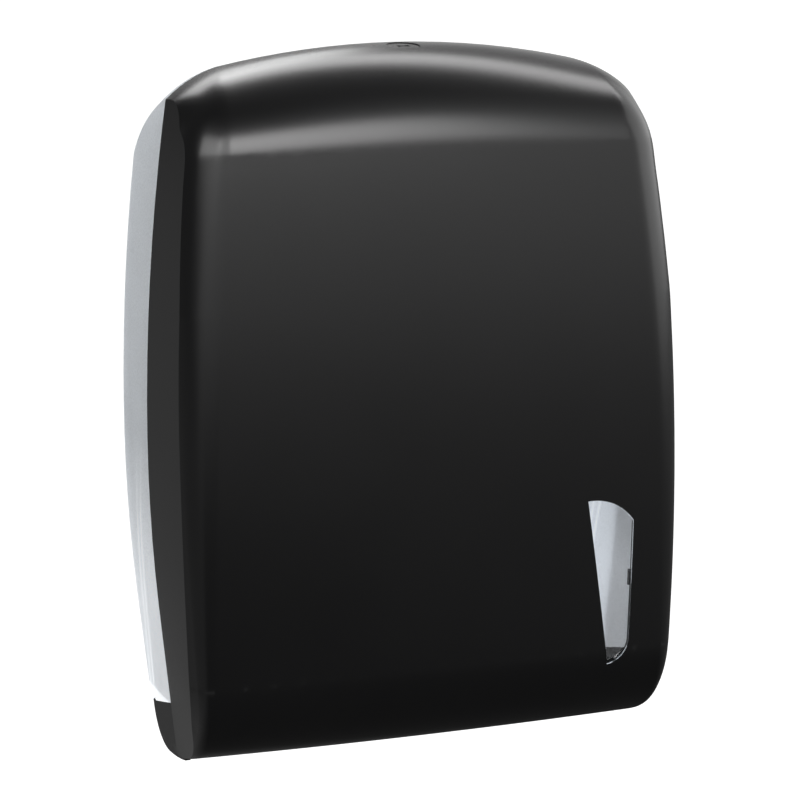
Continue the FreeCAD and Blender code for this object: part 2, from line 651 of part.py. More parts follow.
def make_barrel():
    bottom = LOCK_TOP_Z - LOCK_LENGTH - BARREL_TAIL
    body = under_lock_face(disc_z(0, LOCK_DEPTH, bottom, HEIGHT, BARREL_R))
    top = HEIGHT
    wing, waist = 3.4, 0.7
    slot = [at(-wing, LOCK_DEPTH - 1.9, top), at(0, LOCK_DEPTH - waist, top),
            at(wing, LOCK_DEPTH - 1.9, top), at(wing, LOCK_DEPTH + 1.9, top),
            at(0, LOCK_DEPTH + waist, top), at(-wing, LOCK_DEPTH + 1.9, top)]
    key_way = Part.Face(Part.makePolygon(slot + slot[:1])).extrude(V(0, 0, -16))
    pilot = disc_z(0, LOCK_DEPTH, bottom - 1, bottom + 9, SCREW_R + SCREW_FIT)
    return body.cut([key_way, pilot])


def cam_top_z():
    return LOCK_TOP_Z - LOCK_LENGTH - BARREL_TAIL


def make_cam():
    """Hooked cam, stored pointing along +X; its finger passes behind the keeper."""
    top = cam_top_z()
    inner = CAM_REACH - FINGER_THICK
    reach = math.sqrt(CAM_REACH ** 2 - CAM_HALF ** 2)
    corners = [at(0, LOCK_DEPTH - CAM_HALF - 2, top), at(reach, LOCK_DEPTH - CAM_HALF, top),
               at(reach, LOCK_DEPTH + CAM_HALF, top), at(0, LOCK_DEPTH + CAM_HALF + 2, top)]
    arm = Part.Face(Part.makePolygon(corners + corners[:1])).extrude(V(0, 0, -CAM_THICK))
    hub = disc_z(0, LOCK_DEPTH, top - CAM_THICK, top, CAM_HALF + 2)
    ring = disc_z(0, LOCK_DEPTH, top - CAM_THICK, top + FINGER_RISE - CAM_THICK, CAM_REACH)
    ring = ring.cut(disc_z(0, LOCK_DEPTH, top - 9, top + 20, inner))
    finger = ring.common(block(0, CAM_REACH + 1, LOCK_DEPTH - CAM_HALF, LOCK_DEPTH + CAM_HALF,
                               top - CAM_THICK, top + 20))
    cam = arm.fuse([hub, finger])
    return cam.cut(disc_z(0, LOCK_DEPTH, top - 9, top + 1, SCREW_R + SCREW_FIT)).removeSplitter()


def make_cam_fixing():
    """Washer and screw below the cam."""
    under = cam_top_z() - CAM_THICK
    washer = disc_z(0, LOCK_DEPTH, under - 1.0, under, 5.0)
    washer = washer.cut(disc_z(0, LOCK_DEPTH, under - 2, under + 1, SCREW_R + SCREW_FIT))
    screw = disc_z(0, LOCK_DEPTH, under - 1.0, under + CAM_THICK + 7.5, SCREW_R)
    head = disc_z(0, LOCK_DEPTH, under - 1.0 - SCREW_HEAD, under - 1.0, SCREW_HEAD_R)
    head = head.cut(cross_slot(V(0, -LOCK_DEPTH, under - 1.0 - SCREW_HEAD), V(0, 0, 1)))
    return washer, screw.fuse(head)


def make_keeper():
    """Bracket under the shell's flat pad with a curved lip in front of the cam's finger."""
    outer_r = CAM_REACH - FINGER_THICK - KEEPER_GAP
    inner_r = outer_r - KEEPER_THICK
    top = KEEPER_TOP_Z
    base = block(-KEEPER_HALF, KEEPER_HALF, KEEPER_BACK_DEPTH, PARTING_DEPTH - 1.5,
                 top - KEEPER_BASE, top)
    lip_low = cam_top_z() + 2.0
    ring = disc_z(0, LOCK_DEPTH, lip_low, top, outer_r)
    ring = ring.cut(disc_z(0, LOCK_DEPTH, lip_low - 1, top + 1, inner_r))
    half = outer_r * math.sin(math.radians(KEEPER_ANGLE))
    lip = ring.common(block(-half, half, LOCK_DEPTH - outer_r - 1, LOCK_DEPTH, lip_low, top))
    lip = lip.common(block(-half, half, 0, LOCK_DEPTH - inner_r * 0.8, lip_low, top))
    keeper = base.fuse(lip)
    for x in (-KEEPER_HALF + 4, KEEPER_HALF - 4):
        keeper = keeper.cut(disc_z(x, KEEPER_SCREW_DEPTH, top - 20, top + 2,
                                   SCREW_R + SCREW_FIT))
    return keeper.removeSplitter()


def make_keeper_screws():
    under = KEEPER_TOP_Z - KEEPER_BASE
    depth = KEEPER_SCREW_DEPTH
    screws = []
    for x in (-KEEPER_HALF + 4, KEEPER_HALF - 4):
        shank = disc_z(x, depth, under, roof_z(depth, 1.4), SCREW_R)
        head = disc_z(x, depth, under - SCREW_HEAD, under, SCREW_HEAD_R)
        head = head.cut(cross_slot(at(x, depth, under - SCREW_HEAD), V(0, 0, 1)))
        screws.append(shank.fuse(head))
    return Part.makeCompound(screws)


def cross_slot(point, direction):
    """Cross recess 1 mm deep, starting at a screw head's outer face."""
    size, width, deep = 3.2, 0.7, 1.0
    one = Part.makeBox(size, width, deep, V(-size / 2, -width / 2, 0))
    two = Part.makeBox(width, size, deep, V(-width / 2, -size / 2, 0))
    cross = one.fuse(two)
    cross.Placement = FreeCAD.Placement(point, FreeCAD.Rotation(V(0, 0, 1), direction))
    return cross


# ================================================================ tray
def stadium(half, depth0, depth1, z0, z1, grow=0.0):
    """Round-ended upright prism."""
    radius = (depth1 - depth0) / 2 + grow
    middle = (depth0 + depth1) / 2
    straight = half - (depth1 - depth0) / 2
    body = block(-straight, straight, middle - radius, middle + radius, z0, z1)
    ends = [disc_z(x, middle, z0, z1, radius) for x in (-straight, straight)]
    return body.fuse(ends).removeSplitter()


def make_tray():
    back = TRAY_SEAT_DEPTH
    floor_top = TRAY_Z + TRAY_FLOOR
    rim_z = floor_top + TRAY_SIDE
    body = block(-TRAY_HALF, TRAY_HALF, back, TRAY_FRONT_DEPTH, TRAY_Z, rim_z)
    hollow = block(-TRAY_HALF + TRAY_WALL, TRAY_HALF - TRAY_WALL, back + TRAY_FLANGE,
                   TRAY_FRONT_DEPTH - TRAY_WALL, floor_top, rim_z + 1)
    flange = block(-TRAY_HALF, TRAY_HALF, back, back + TRAY_FLANGE, TRAY_Z, TRAY_FLANGE_TOP)
    tray = body.cut(hollow).fuse(flange)
    boss_end = EAR_OUTER_X - EAR_WALL - WASHER_THICK - 2 * WASHER_PLAY
    boss_start = boss_end - PIN_BOSS_LENGTH
    boss = disc_x(boss_start, boss_end, HINGE_DEPTH, HINGE_Z, PIN_BOSS_R)
    cheek = outline_x([(back, TRAY_FLANGE_TOP), (HINGE_DEPTH + PIN_BOSS_R, rim_z),
                       (HINGE_DEPTH + PIN_BOSS_R, TRAY_Z), (back, TRAY_Z)],
                      TRAY_HALF - TRAY_WALL, TRAY_HALF)
    tray = tray.fuse(both(boss.fuse(cheek)))
    bore = disc_x(boss_start - 20, boss_end + 5, HINGE_DEPTH, HINGE_Z, PIN_R + 0.01)
    tray = tray.cut(both(bore))
    tray = tray.cut(stadium(SLOT_HALF, SLOT_NEAR_DEPTH, SLOT_FAR_DEPTH, TRAY_Z - 5, floor_top + 5,
                            THROAT_WALL + THROAT_GAP))
    for x in TRAY_SCREW_X:
        tray = tray.cut(disc_y(x, TRAY_SCREW_Z, 0, back + TRAY_FLANGE + 1, SCREW_R + SCREW_FIT))
    return tray.removeSplitter()


def make_throat():
    """Smooth collar that lines the towel slot and laps over the tray floor."""
    seat = TRAY_Z + TRAY_FLOOR
    low = TRAY_Z - THROAT_DROP
    high = seat + THROAT_LIP
    sleeve = stadium(SLOT_HALF, SLOT_NEAR_DEPTH, SLOT_FAR_DEPTH, low, high, THROAT_WALL)
    lap = stadium(SLOT_HALF, SLOT_NEAR_DEPTH, SLOT_FAR_DEPTH, seat, high, THROAT_FLANGE)
    bore = stadium(SLOT_HALF, SLOT_NEAR_DEPTH, SLOT_FAR_DEPTH, low - 5, high + 5)
    return sleeve.fuse(lap).cut(bore).removeSplitter()


def wall_screws(places):
    """Screws along Y through a flange of the tray or a guide, seated on the bosses."""
    seat = TRAY_SEAT_DEPTH + TRAY_FLANGE
    screws = []
    for x, z in places:
        shank = disc_y(x, z, 1.4, seat, SCREW_R)
        head = disc_y(x, z, seat, seat + SCREW_HEAD, SCREW_HEAD_R)
        head = head.cut(cross_slot(at(x, seat + SCREW_HEAD, z), V(0, 1, 0)))
        screws.append(shank.fuse(head))
    return Part.makeCompound(screws)


# ================================================================ hinge pins and stack guides
def make_hinge_pin():
    boss_end = EAR_OUTER_X - EAR_WALL - WASHER_THICK - 2 * WASHER_PLAY
    start = boss_end - PIN_BOSS_LENGTH
    pin = disc_x(start, EAR_OUTER_X + 0.2, HINGE_DEPTH, HINGE_Z, PIN_R)
    head = disc_x(start - PIN_HEAD, start, HINGE_DEPTH, HINGE_Z, PIN_HEAD_R)
    return pin.fuse(head).removeSplitter()


def make_hinge_washer():
    outer = EAR_OUTER_X - EAR_WALL - WASHER_PLAY
    ring = disc_x(outer - WASHER_THICK, outer, HINGE_DEPTH, HINGE_Z, WASHER_R)
    return ring.cut(disc_x(outer - 5, outer + 5, HINGE_DEPTH, HINGE_Z, PIN_R + 0.1))


def guide_screw_places():
    x = GUIDE_X - GUIDE_FOOT / 2
    return [(side * x, z) for side in (-1, 1) for z in GUIDE_SCREW_Z]


def make_guide():
    """Angle strip on the back wall that keeps the towel stack in the middle."""
    seat = TRAY_SEAT_DEPTH
    foot = block(GUIDE_X - GUIDE_FOOT, GUIDE_X, seat, seat + TRAY_FLANGE, GUIDE_BOTTOM_Z,
                 GUIDE_TOP_Z)
    fin = block(GUIDE_X - GUIDE_THICK, GUIDE_X, seat, seat + TRAY_FLANGE + GUIDE_REACH,
                GUIDE_BOTTOM_Z, GUIDE_TOP_Z)
    guide = foot.fuse(fin)
    for x, z in guide_screw_places()[2:]:
        guide = guide.cut(disc_y(x, z, 0, 30, SCREW_R + SCREW_FIT))
    return guide.removeSplitter()


# ================================================================ build
def main():
    os.makedirs("parts", exist_ok=True)
    front = PARTING_DEPTH + PARTING_GAP
    cover_body = casing(0, front, DEPTH + 10)
    cover_core = casing(COVER_WALL, front - 1, DEPTH + 10)
    save("front_cover", make_cover(cover_body, cover_core))
    lens, frame = make_window(cover_body)
    save("window_lens", lens)
    save("window_frame", frame)
    save("back_shell", make_shell())
    save("cover_buffers", make_buffers())
    save("lock_housing", make_lock_housing())
    save("lock_nut", make_lock_nut())
    save("lock_barrel", make_barrel())
    save("lock_cam", make_cam())
    washer, screw = make_cam_fixing()
    save("lock_cam_washer", washer)
    save("lock_cam_screw", screw)
    save("lock_keeper", make_keeper())
    save("keeper_screws", make_keeper_screws())
    save("towel_tray", make_tray())
    save("throat_collar", make_throat())
    save("tray_screws", wall_screws([(x, TRAY_SCREW_Z) for x in TRAY_SCREW_X]))
    save("guide_screws", wall_screws(guide_screw_places()))
    for side, turn in (("right", lambda s: s), ("left", mirror)):
        save("hinge_pin_" + side, turn(make_hinge_pin()))
        save("hinge_washer_" + side, turn(make_hinge_washer()))
        save("stack_guide_" + side, turn(make_guide()))


main()
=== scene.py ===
"""Visual model of a wall-mounted folded towel dispenser, built round its packed mechanical parts."""

import math

import bmesh
import bpy
import numpy as np
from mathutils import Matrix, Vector


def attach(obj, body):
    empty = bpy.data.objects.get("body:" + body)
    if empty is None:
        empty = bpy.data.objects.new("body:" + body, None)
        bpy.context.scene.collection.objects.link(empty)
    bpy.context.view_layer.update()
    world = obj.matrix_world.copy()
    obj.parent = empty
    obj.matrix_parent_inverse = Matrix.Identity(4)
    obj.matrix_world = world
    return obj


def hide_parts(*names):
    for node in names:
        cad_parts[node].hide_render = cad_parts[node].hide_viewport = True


bl_info = {
    "name": "Towel Dispenser",
    "version": (1, 0, 0),
    "blender": (4, 5, 0),
    "location": "View3D > Sidebar > Dispenser",
    "description": "Builds the finished pieces of a folded towel dispenser and a studio stage",
    "category": "Object",
}

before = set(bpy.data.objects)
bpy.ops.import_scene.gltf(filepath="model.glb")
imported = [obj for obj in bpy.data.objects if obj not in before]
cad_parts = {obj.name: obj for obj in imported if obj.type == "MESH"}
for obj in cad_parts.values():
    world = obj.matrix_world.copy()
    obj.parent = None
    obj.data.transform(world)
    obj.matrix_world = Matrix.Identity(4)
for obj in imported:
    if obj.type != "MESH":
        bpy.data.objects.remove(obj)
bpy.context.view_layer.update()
MM = 0.001
BASE_Z = -0.197          # lowest point of the cover, from the wall-screw centre


# ---------------------------------------------------------------- settings
class CasingSizes(bpy.types.PropertyGroup):
    """Sizes of the casing's curved surfaces, which set the shading of the mouldings."""
    height: bpy.props.FloatProperty(
        name="Height", description="Lowest point of the cover to the top of the arch",
        default=0.394, unit="LENGTH")
    half_width: bpy.props.FloatProperty(
        name="Half Width", description="Half of the greatest width", default=0.1451,
        unit="LENGTH")
    depth: bpy.props.FloatProperty(
        name="Depth", description="Wall to the front face", default=0.124, unit="LENGTH")
    parting: bpy.props.FloatProperty(
        name="Parting Depth", description="Wall to the joint between shell and cover",
        default=0.0475, unit="LENGTH")
    cover_wall: bpy.props.FloatProperty(
        name="Cover Wall", description="Wall thickness of the cover", default=0.0024,
        unit="LENGTH")
    insert_gap: bpy.props.FloatProperty(
        name="Insert Gap", description="Room between the cover and the shell's walls inside it",
        default=0.0006, unit="LENGTH")
    side_wall: bpy.props.FloatProperty(
        name="Shell Wall", description="Outside of the casing to the inside of the shell's walls",
        default=0.0049, unit="LENGTH")


class FinishColours(bpy.types.PropertyGroup):
    """Base colours of the plastics and metals."""
    cover: bpy.props.FloatVectorProperty(
        name="Cover", description="Satin black plastic of the cover and lock",
        subtype="COLOR", size=3, default=(0.004, 0.004, 0.0042))
    shell: bpy.props.FloatVectorProperty(
        name="Shell", description="Frosted plastic of the back shell",
        subtype="COLOR", size=3, default=(0.78, 0.80, 0.82))
    tray: bpy.props.FloatVectorProperty(
        name="Tray", description="Grey plastic of the tray and guides",
        subtype="COLOR", size=3, default=(0.22, 0.225, 0.235))
    steel: bpy.props.FloatVectorProperty(
        name="Steel", description="Zinc-plated steel of the screws, pins and cam",
        subtype="COLOR", size=3, default=(0.60, 0.60, 0.58))


# ---------------------------------------------------------------- shader writing
class Wire:
    """A shader socket that takes part in Python arithmetic."""

    def __init__(self, tree, socket):
        self.tree = tree
        self.socket = socket

    def port(self, name):
        """Another output of the same node."""
        return Wire(self.tree, self.socket.node.outputs[name])

    def _math(self, operation, first, second):
        node = self.tree.nodes.new("ShaderNodeMath")
        node.operation = operation
        for place, value in enumerate((first, second)):
            if isinstance(value, Wire):
                self.tree.links.new(value.socket, node.inputs[place])
            else:
                node.inputs[place].default_value = value
        return Wire(self.tree, node.outputs[0])

    def __add__(self, other):
        return self._math("ADD", self, other)

    def __radd__(self, other):
        return self._math("ADD", other, self)

    def __sub__(self, other):
        return self._math("SUBTRACT", self, other)

    def __rsub__(self, other):
        return self._math("SUBTRACT", other, self)

    def __mul__(self, other):
        return self._math("MULTIPLY", self, other)

    def __rmul__(self, other):
        return self._math("MULTIPLY", other, self)

    def at_least(self, other):
        return self._math("MAXIMUM", self, other)

    def at_most(self, other):
        return self._math("MINIMUM", self, other)

    def clamped(self):
        """The value, held between 0 and 1."""
        return self.at_least(0.0).at_most(1.0)

    def fade(self, start, end):
        """0 up to the start, 1 from the end on and a straight rise between them."""
        return ((self - start) * (1.0 / (end - start))).clamped()


class Shading:
    """A node tree under construction."""

    def __init__(self, tree):
        self.tree = tree
        tree.nodes.clear()

    def node(self, kind, settings=None, inputs=None, output=0):
        """Add a node, set it up, fill its sockets and give back one output."""
        node = self.tree.nodes.new(kind)
        for key, value in (settings or {}).items():
            if key == "stops":
                ramp = node.color_ramp
                while len(ramp.elements) < len(value):
                    ramp.elements.new(0.5)
                for element, (place, colour) in zip(ramp.elements, value):
                    element.position = place
                    element.color = colour
            else:
                setattr(node, key, value)
        for key, value in (inputs or {}).items():
            if isinstance(value, Wire):
                self.tree.links.new(value.socket, node.inputs[key])
            else:
                node.inputs[key].default_value = value
        return None if output is None else Wire(self.tree, node.outputs[output])

    def axes(self, where):
        """The three numbers of a position or direction."""
        split = self.node("ShaderNodeSeparateXYZ", None, {0: where})
        return [split.port(axis) for axis in "XYZ"]

    def blend(self, mask, low, high):
        """Colour between two colours by a mask."""
        return self.node("ShaderNodeMix", {"data_type": "RGBA"},
                         {"Factor": mask, "A": low, "B": high}, output=2)

    def ray_kinds(self):
        """1 for what is seen, by the camera or through glass, and 1 for what gloss mirrors."""
        camera = self.node("ShaderNodeLightPath", output="Is Camera Ray")
        return camera.at_least(camera.port("Is Transmission Ray")), camera.port("Is Glossy Ray")


class Finish(Shading):
    """A material under construction."""

    def __init__(self, name):
        self.material = bpy.data.materials.new(name)
        self.material.use_nodes = True
        super().__init__(self.material.node_tree)

    def place(self):
        """Position on the object, in metres."""
        return self.node("ShaderNodeTexCoord", output="Object")

    def noise(self, size, detail=2.0, roughness=0.5, stretch=None):
        """Noise from 0 to 1 whose blotches are about as large as the size, in metres."""
        where = self.place()
        if stretch:
            where = self.node("ShaderNodeVectorMath", {"operation": "MULTIPLY"},
                              {0: where, 1: stretch})
        return self.node("ShaderNodeTexNoise", None,
                         {"Vector": where, "Scale": 1.0 / size, "Detail": detail,
                          "Roughness": roughness})

    def bump(self, height, strength, distance):
        return self.node("ShaderNodeBump", None,
                         {"Height": height, "Strength": strength, "Distance": distance})

    def principled(self, **inputs):
        named = {key.replace("_", " "): value for key, value in inputs.items()}
        return self.node("ShaderNodeBsdfPrincipled", None, named)

    def card(self, level):
        """Plain matt grey."""
        return self.node("ShaderNodeBsdfDiffuse", None, {"Color": grey(level)})

    def mix(self, mask, first, second):
        """One shader where the mask is 0 and the other where it is 1."""
        return self.node("ShaderNodeMixShader", None, {"Fac": mask, 1: first, 2: second})

    def done(self, shader):
        self.node("ShaderNodeOutputMaterial", None, {"Surface": shader}, output=None)
        return self.material


def rgba(colour, gain=1.0):
    return tuple(min(channel * gain, 1.0) for channel in colour) + (1.0,)


def grey(level):
    return (level, level, level, 1.0)


# ---------------------------------------------------------------- finishes
def make_satin_black():
    """Black moulded plastic with a satin sheen and a very fine orange peel."""
    finish = Finish("satin_black")
    base = bpy.context.scene.finish_colours.cover
    cloud = finish.noise(size=0.09, detail=3.0)
    grain = finish.noise(size=0.0006)
    peel = finish.noise(size=0.0022, detail=1.0)
    colour = finish.blend(cloud, rgba(base, 0.85), rgba(base, 1.25))
    rough = 0.235 + 0.03 * cloud + 0.02 * grain
    normal = finish.bump(0.7 * peel + 0.3 * grain, strength=0.05, distance=0.0002)
    return finish.done(finish.principled(Base_Color=colour, Roughness=rough, Normal=normal,
                                         IOR=1.6))


def make_matt_black():
    """Black moulded plastic with a fine spark texture."""
    finish = Finish("matt_black")
    grain = finish.noise(size=0.0008, detail=3.0)
    colour = finish.blend(grain, (0.008, 0.008, 0.009, 1.0), (0.016, 0.016, 0.018, 1.0))
    rough = 0.5 + 0.12 * grain
    normal = finish.bump(grain, strength=0.25, distance=0.0001)
    return finish.done(finish.principled(Base_Color=colour, Roughness=rough, Normal=normal))


# where the painted glow lies on the frosted walls: none at the first place, in full at the second,
# in metres
PAINTED_GLOW_ACROSS = (0.082, 0.133)
PAINTED_GLOW_UP = (-0.018, -0.109)
PAINTED_RIM_GLOW_UP = (-0.165, -0.167)
PAINTED_RIB_GLOW_DEPTHS = (0.0315, 0.0385)   # depth of the painted bright rib lines at the wall-screw centre's height
PAINTED_RIB_GLOW_LEAN = 0.165                # lower down they lie nearer the wall, by this slope
PAINTED_RIB_GLOW_HALF_WIDTH = 0.0024


def painted_wall_glow(finish, grain):
    """Mask of painted light: a glow painted on the side walls that grows downwards, with painted
    bright lines over two rib lines and at the rim.
    """
    across, depth, up = finish.axes(finish.place())
    side = (across * across).fade(PAINTED_GLOW_ACROSS[0] ** 2, PAINTED_GLOW_ACROSS[1] ** 2)
    rib_glow = 0.0
    for glow_rib_depth in PAINTED_RIB_GLOW_DEPTHS:
        off = depth + PAINTED_RIB_GLOW_LEAN * up + glow_rib_depth
        rib_glow = rib_glow + off.at_least(-1.0 * off).fade(PAINTED_RIB_GLOW_HALF_WIDTH, 0.0)
    # painted light: a base glow mottled by the grain, plus brighter rib lines and rim
    glow = 0.20 + 0.35 * grain + 0.60 * rib_glow + up.fade(*PAINTED_RIM_GLOW_UP)
    return (up.fade(*PAINTED_GLOW_UP) * side * glow).clamped()


def make_frosted():
    """Frosted translucent plastic, with a painted glow (emission) on its lower walls, rib lines and
    rim.
    """
    finish = Finish("frosted_plastic_painted_glow")
    base = bpy.context.scene.finish_colours.shell
    grain = finish.noise(size=0.0011, detail=3.0, roughness=0.8)
    cloud = finish.noise(size=0.05)
    mottle = (2.2 * grain + 0.3 * cloud - 0.75).clamped()
    colour = finish.blend(mottle, rgba(base, 0.70), rgba(base, 1.18))
    rough = 0.36 + 0.1 * grain
    normal = finish.bump(grain, strength=0.18, distance=0.00015)
    # painted light: the glow mask sets an emission of up to 0.66 grey on the lower walls
    painted_glow_colour = finish.blend(painted_wall_glow(finish, grain), grey(0.0), grey(0.66))
    body = finish.principled(Base_Color=colour, Roughness=rough, Normal=normal,
                             Emission_Color=painted_glow_colour, Emission_Strength=1.0)
    glow = finish.node("ShaderNodeBsdfTranslucent", None, {"Color": rgba(base, 1.2)})
    return finish.done(finish.mix(0.42, body, glow))


def make_clear():
    """Clear moulded pane with a faint waviness."""
    finish = Finish("clear_pane")
    wave = finish.noise(size=0.012, detail=1.0)
    rough = 0.02 + 0.03 * wave
    normal = finish.bump(wave, strength=0.05, distance=0.0003)
    return finish.done(finish.principled(
        Base_Color=(0.93, 0.95, 0.98, 1.0), Roughness=rough, Normal=normal, IOR=1.49,
        Transmission_Weight=1.0))


def make_tray_grey():
    """Grey moulded plastic with a fine grain."""
    finish = Finish("tray_grey")
    base = bpy.context.scene.finish_colours.tray
    grain = finish.noise(size=0.0009, detail=3.0)
    cloud = finish.noise(size=0.03)
    colour = finish.blend(cloud, rgba(base, 0.9), rgba(base, 1.1))
    rough = 0.42 + 0.1 * grain
    normal = finish.bump(grain, strength=0.2, distance=0.0001)
    return finish.done(finish.principled(Base_Color=colour, Roughness=rough, Normal=normal))


def make_plated():
    """Zinc-plated steel with faint drawing marks."""
    finish = Finish("plated_steel")
    base = bpy.context.scene.finish_colours.steel
    cloud = finish.noise(size=0.004, detail=3.0)
    marks = finish.noise(size=0.0004, stretch=(1.0, 1.0, 12.0))
    colour = finish.blend(cloud, rgba(base, 0.88), rgba(base, 1.1))
    rough = 0.26 + 0.12 * cloud + 0.08 * marks
    normal = finish.bump(marks, strength=0.08, distance=0.00005)
    return finish.done(finish.principled(Base_Color=colour, Roughness=rough, Normal=normal,
                                         Metallic=1.0))


def make_white_nylon():
    """Off-white nylon of the hinge washers."""
    finish = Finish("white_nylon")
    cloud = finish.noise(size=0.003, detail=3.0)
    colour = finish.blend(cloud, (0.70, 0.70, 0.67, 1.0), (0.82, 0.82, 0.79, 1.0))
    return finish.done(finish.principled(Base_Color=colour, Roughness=0.4 + 0.1 * cloud))


def make_rubber():
    """Black rubber of the cover buffers."""
    finish = Finish("soft_rubber")
    grain = finish.noise(size=0.0005, detail=3.0)
    colour = finish.blend(grain, grey(0.012), grey(0.03))
    rough = 0.7 + 0.15 * grain
    normal = finish.bump(grain, strength=0.3, distance=0.0001)
    return finish.done(finish.principled(Base_Color=colour, Roughness=rough, Normal=normal))


MAKERS = {
    "satin_black": make_satin_black,
    "matt_black": make_matt_black,
    "frosted_plastic_painted_glow": make_frosted,
    "clear_pane": make_clear,
    "tray_grey": make_tray_grey,
    "plated_steel": make_plated,
    "white_nylon": make_white_nylon,
    "soft_rubber": make_rubber,
}


def paint(obj, finish):
    """Put a finish on a piece, made at its first use."""
    obj.data.materials.clear()
    obj.data.materials.append(bpy.data.materials.get(finish) or MAKERS[finish]())


def paint_nodes(finish, *nodes):
    for node in nodes:
        paint(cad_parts[node], finish)


# ---------------------------------------------------------------- casing surfaces
def smooth_step(t):
    t = np.clip(t, 0, 1)
    return t * t * (3 - 2 * t)


def polar(centre, depth, z):
    """Angle and distance of points about a centre in the middle plane."""
    return (np.arctan2(z - centre[1], depth - centre[0]),
            np.hypot(z - centre[1], depth - centre[0]))


